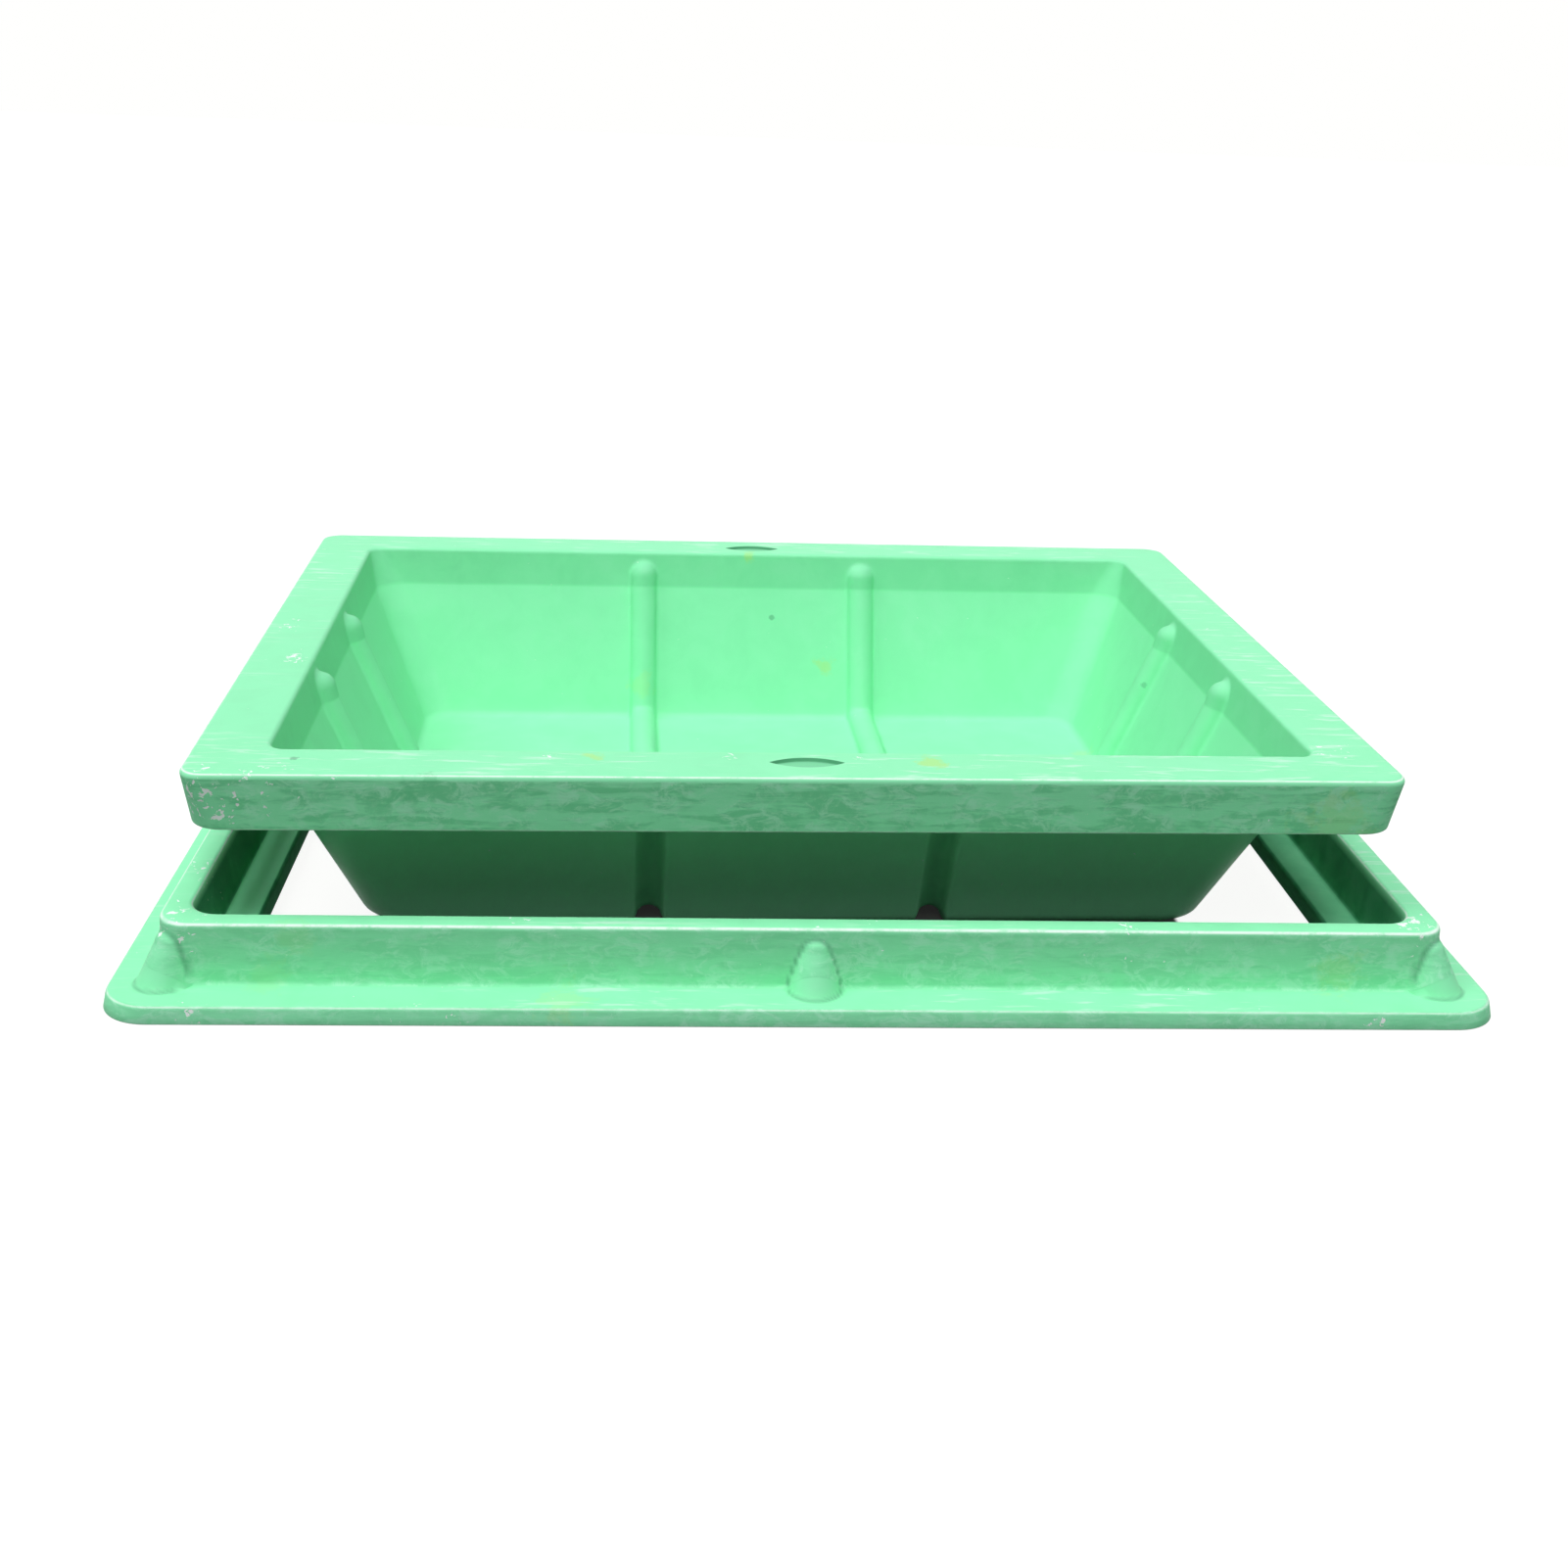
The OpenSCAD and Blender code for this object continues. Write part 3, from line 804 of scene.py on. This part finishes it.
def dress(obj, node, material):
    """Gives the piece its material, body, replaced node and slot."""
    obj.data.materials.clear()
    obj.data.materials.append(material)
    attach(obj, "root")
    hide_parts(node)


pan = make_pan()
cut_recesses(pan)
sharpen(pan, PAN_SHARP)
pan.data.transform(Euler((0, 0, PAN_TURN)).to_matrix().to_4x4())
pan.data.transform(Matrix.Translation(Vector((*PAN_SHIFT, 0)) * MM))
dress(pan, "cover_pan", moulded("moulding_pan", PAN_STAINS, PAN_BRUISES, 0.0, 0.3))

surround = make_frame()
sharpen(surround, FRAME_SHARP)
dress(surround, "frame", moulded("moulding_frame", FRAME_STAINS, FRAME_BRUISES, 3.0, 0.7))


# Camera, floor and light

CAMERA_LENS = 43.47
CAMERA_PLACE = (-0.0998, -1.3604, 0.5408)
CAMERA_TURN = (69.192, -2.097, -3.414)
BACKDROP = (1.0, 1.0, 0.99, 1)
FLOOR_REACH = 14.0
FLOOR_PALE = (0.16, 0.16, 0.155, 1)
FLOOR_DIM = (0.10, 0.10, 0.10, 1)
FLOOR_GLOW = 0.93

# Painted shadow, no glow under the pan: axis, how much wider than the pan's floor, and how far to
# the front
PAN_COVERS = ((0, 2.0, 0.0), (1, 9.0, 5.0))
COVER_SHARE = 0.985
COVER_BLUR = 0.002

# Soft suns: name, aim and strength. The sky's level overhead and at the horizon.
SUN_ANGLE = 25.0
SUNS = (("sun_top", (0.0, 0.0, -1.0), 0.28), ("sun_front", (0.0, 0.574, -0.819), 0.50),
        ("sun_left", (0.574, 0.0, -0.819), 0.33))
SKY_TOP, SKY_LEVEL = 0.20, 0.13


def add_camera():
    data = bpy.data.cameras.new("camera")
    data.sensor_width = 36.0
    data.lens = CAMERA_LENS
    data.clip_end = 50.0
    camera = bpy.data.objects.new("camera", data)
    camera.location = CAMERA_PLACE
    camera.rotation_euler = [math.radians(v) for v in CAMERA_TURN]
    bpy.context.scene.collection.objects.link(camera)
    bpy.context.scene.camera = camera


def background_ray(tree):
    """1 where the camera, a reflection or a see-through surface looks at the background."""
    path = tree.nodes.new("ShaderNodeLightPath").outputs
    total = path["Is Camera Ray"]
    for other in ("Is Glossy Ray", "Is Transmission Ray"):
        larger = tree.nodes.new("ShaderNodeMath")
        larger.operation = "MAXIMUM"
        tree.links.new(total, larger.inputs[0])
        tree.links.new(path[other], larger.inputs[1])
        total = larger.outputs[0]
    return total


def add_floor():
    """A plain pale floor: near white where it is looked at, except for a painted shadow under the
    pan, and else dim.
    """
    mesh = bpy.data.meshes.new("floor")
    signs = ((-1, -1), (1, -1), (1, 1), (-1, 1))
    corners = [(x * FLOOR_REACH, y * FLOOR_REACH, 0) for x, y in signs]
    mesh.from_pydata(corners, [], [(0, 1, 2, 3)])
    floor = bpy.data.objects.new("floor", mesh)
    bpy.context.scene.collection.objects.link(floor)
    n = Nodes("floor")
    seen = background_ray(n.tree)
    n.put(n.mix(seen, FLOOR_DIM, FLOOR_PALE), n.shader.inputs["Base Color"])
    n.shader.inputs["Roughness"].default_value = 1.0
    n.shader.inputs["Specular IOR Level"].default_value = 0.0
    n.shader.inputs["Emission Color"].default_value = BACKDROP
    place = n.add("ShaderNodeTexCoord").outputs["Object"]
    ground = n.add("ShaderNodeSeparateXYZ", {0: place}).outputs
    covered = 1.0
    for axis, wider, moved in PAN_COVERS:
        half = (PAN_HALF[axis] - RIM_W - BAND_DRAFT - WALL_RUN - 2 * WALL + wider) * MM
        middle = (PAN_SHIFT[axis] - moved) * MM
        away = n.math("ABSOLUTE", n.math("SUBTRACT", ground[axis], middle))
        under_pan = n.span(away, half - COVER_BLUR, half + COVER_BLUR, 1.0, 0.0)
        covered = n.times(under_pan, covered)
    # Painted shadow: the glow is taken away under the pan's floor
    glow = n.times(n.math("SUBTRACT", 1.0, n.times(covered, COVER_SHARE)), FLOOR_GLOW)
    n.put(n.times(seen, glow), n.shader.inputs["Emission Strength"])
    mesh.materials.append(n.material)


def add_sun(name, aim, strength):
    """A sun under which white paper that faces it gets the strength as its brightness."""
    data = bpy.data.lights.new(name, "SUN")
    data.angle = math.radians(SUN_ANGLE)
    data.energy = strength * math.pi
    lamp = bpy.data.objects.new(name, data)
    lamp.rotation_euler = Vector(aim).to_track_quat("-Z", "Y").to_euler()
    bpy.context.scene.collection.objects.link(lamp)


def add_world():
    """A soft dome of light, dimmer at the horizon, in front of a white backdrop."""
    world = bpy.data.worlds.new("world")
    bpy.context.scene.world = world
    world.use_nodes = True
    tree = world.node_tree
    tree.nodes.clear()
    up = tree.nodes.new("ShaderNodeSeparateXYZ")
    tree.links.new(tree.nodes.new("ShaderNodeTexCoord").outputs["Generated"], up.inputs[0])
    height = tree.nodes.new("ShaderNodeMapRange")
    tree.links.new(up.outputs["Z"], height.inputs["Value"])
    height.inputs["To Min"].default_value = SKY_LEVEL
    height.inputs["To Max"].default_value = SKY_TOP
    lit = tree.nodes.new("ShaderNodeBackground")
    tree.links.new(height.outputs[0], lit.inputs["Strength"])
    seen = tree.nodes.new("ShaderNodeBackground")
    seen.inputs["Color"].default_value = BACKDROP
    mixed = tree.nodes.new("ShaderNodeMixShader")
    tree.links.new(background_ray(tree), mixed.inputs[0])
    tree.links.new(lit.outputs[0], mixed.inputs[1])
    tree.links.new(seen.outputs[0], mixed.inputs[2])
    tree.links.new(mixed.outputs[0], tree.nodes.new("ShaderNodeOutputWorld").inputs["Surface"])


add_camera()
add_floor()
for sun in SUNS:
    add_sun(*sun)
add_world()
bpy.context.scene.view_settings.view_transform = "Standard"
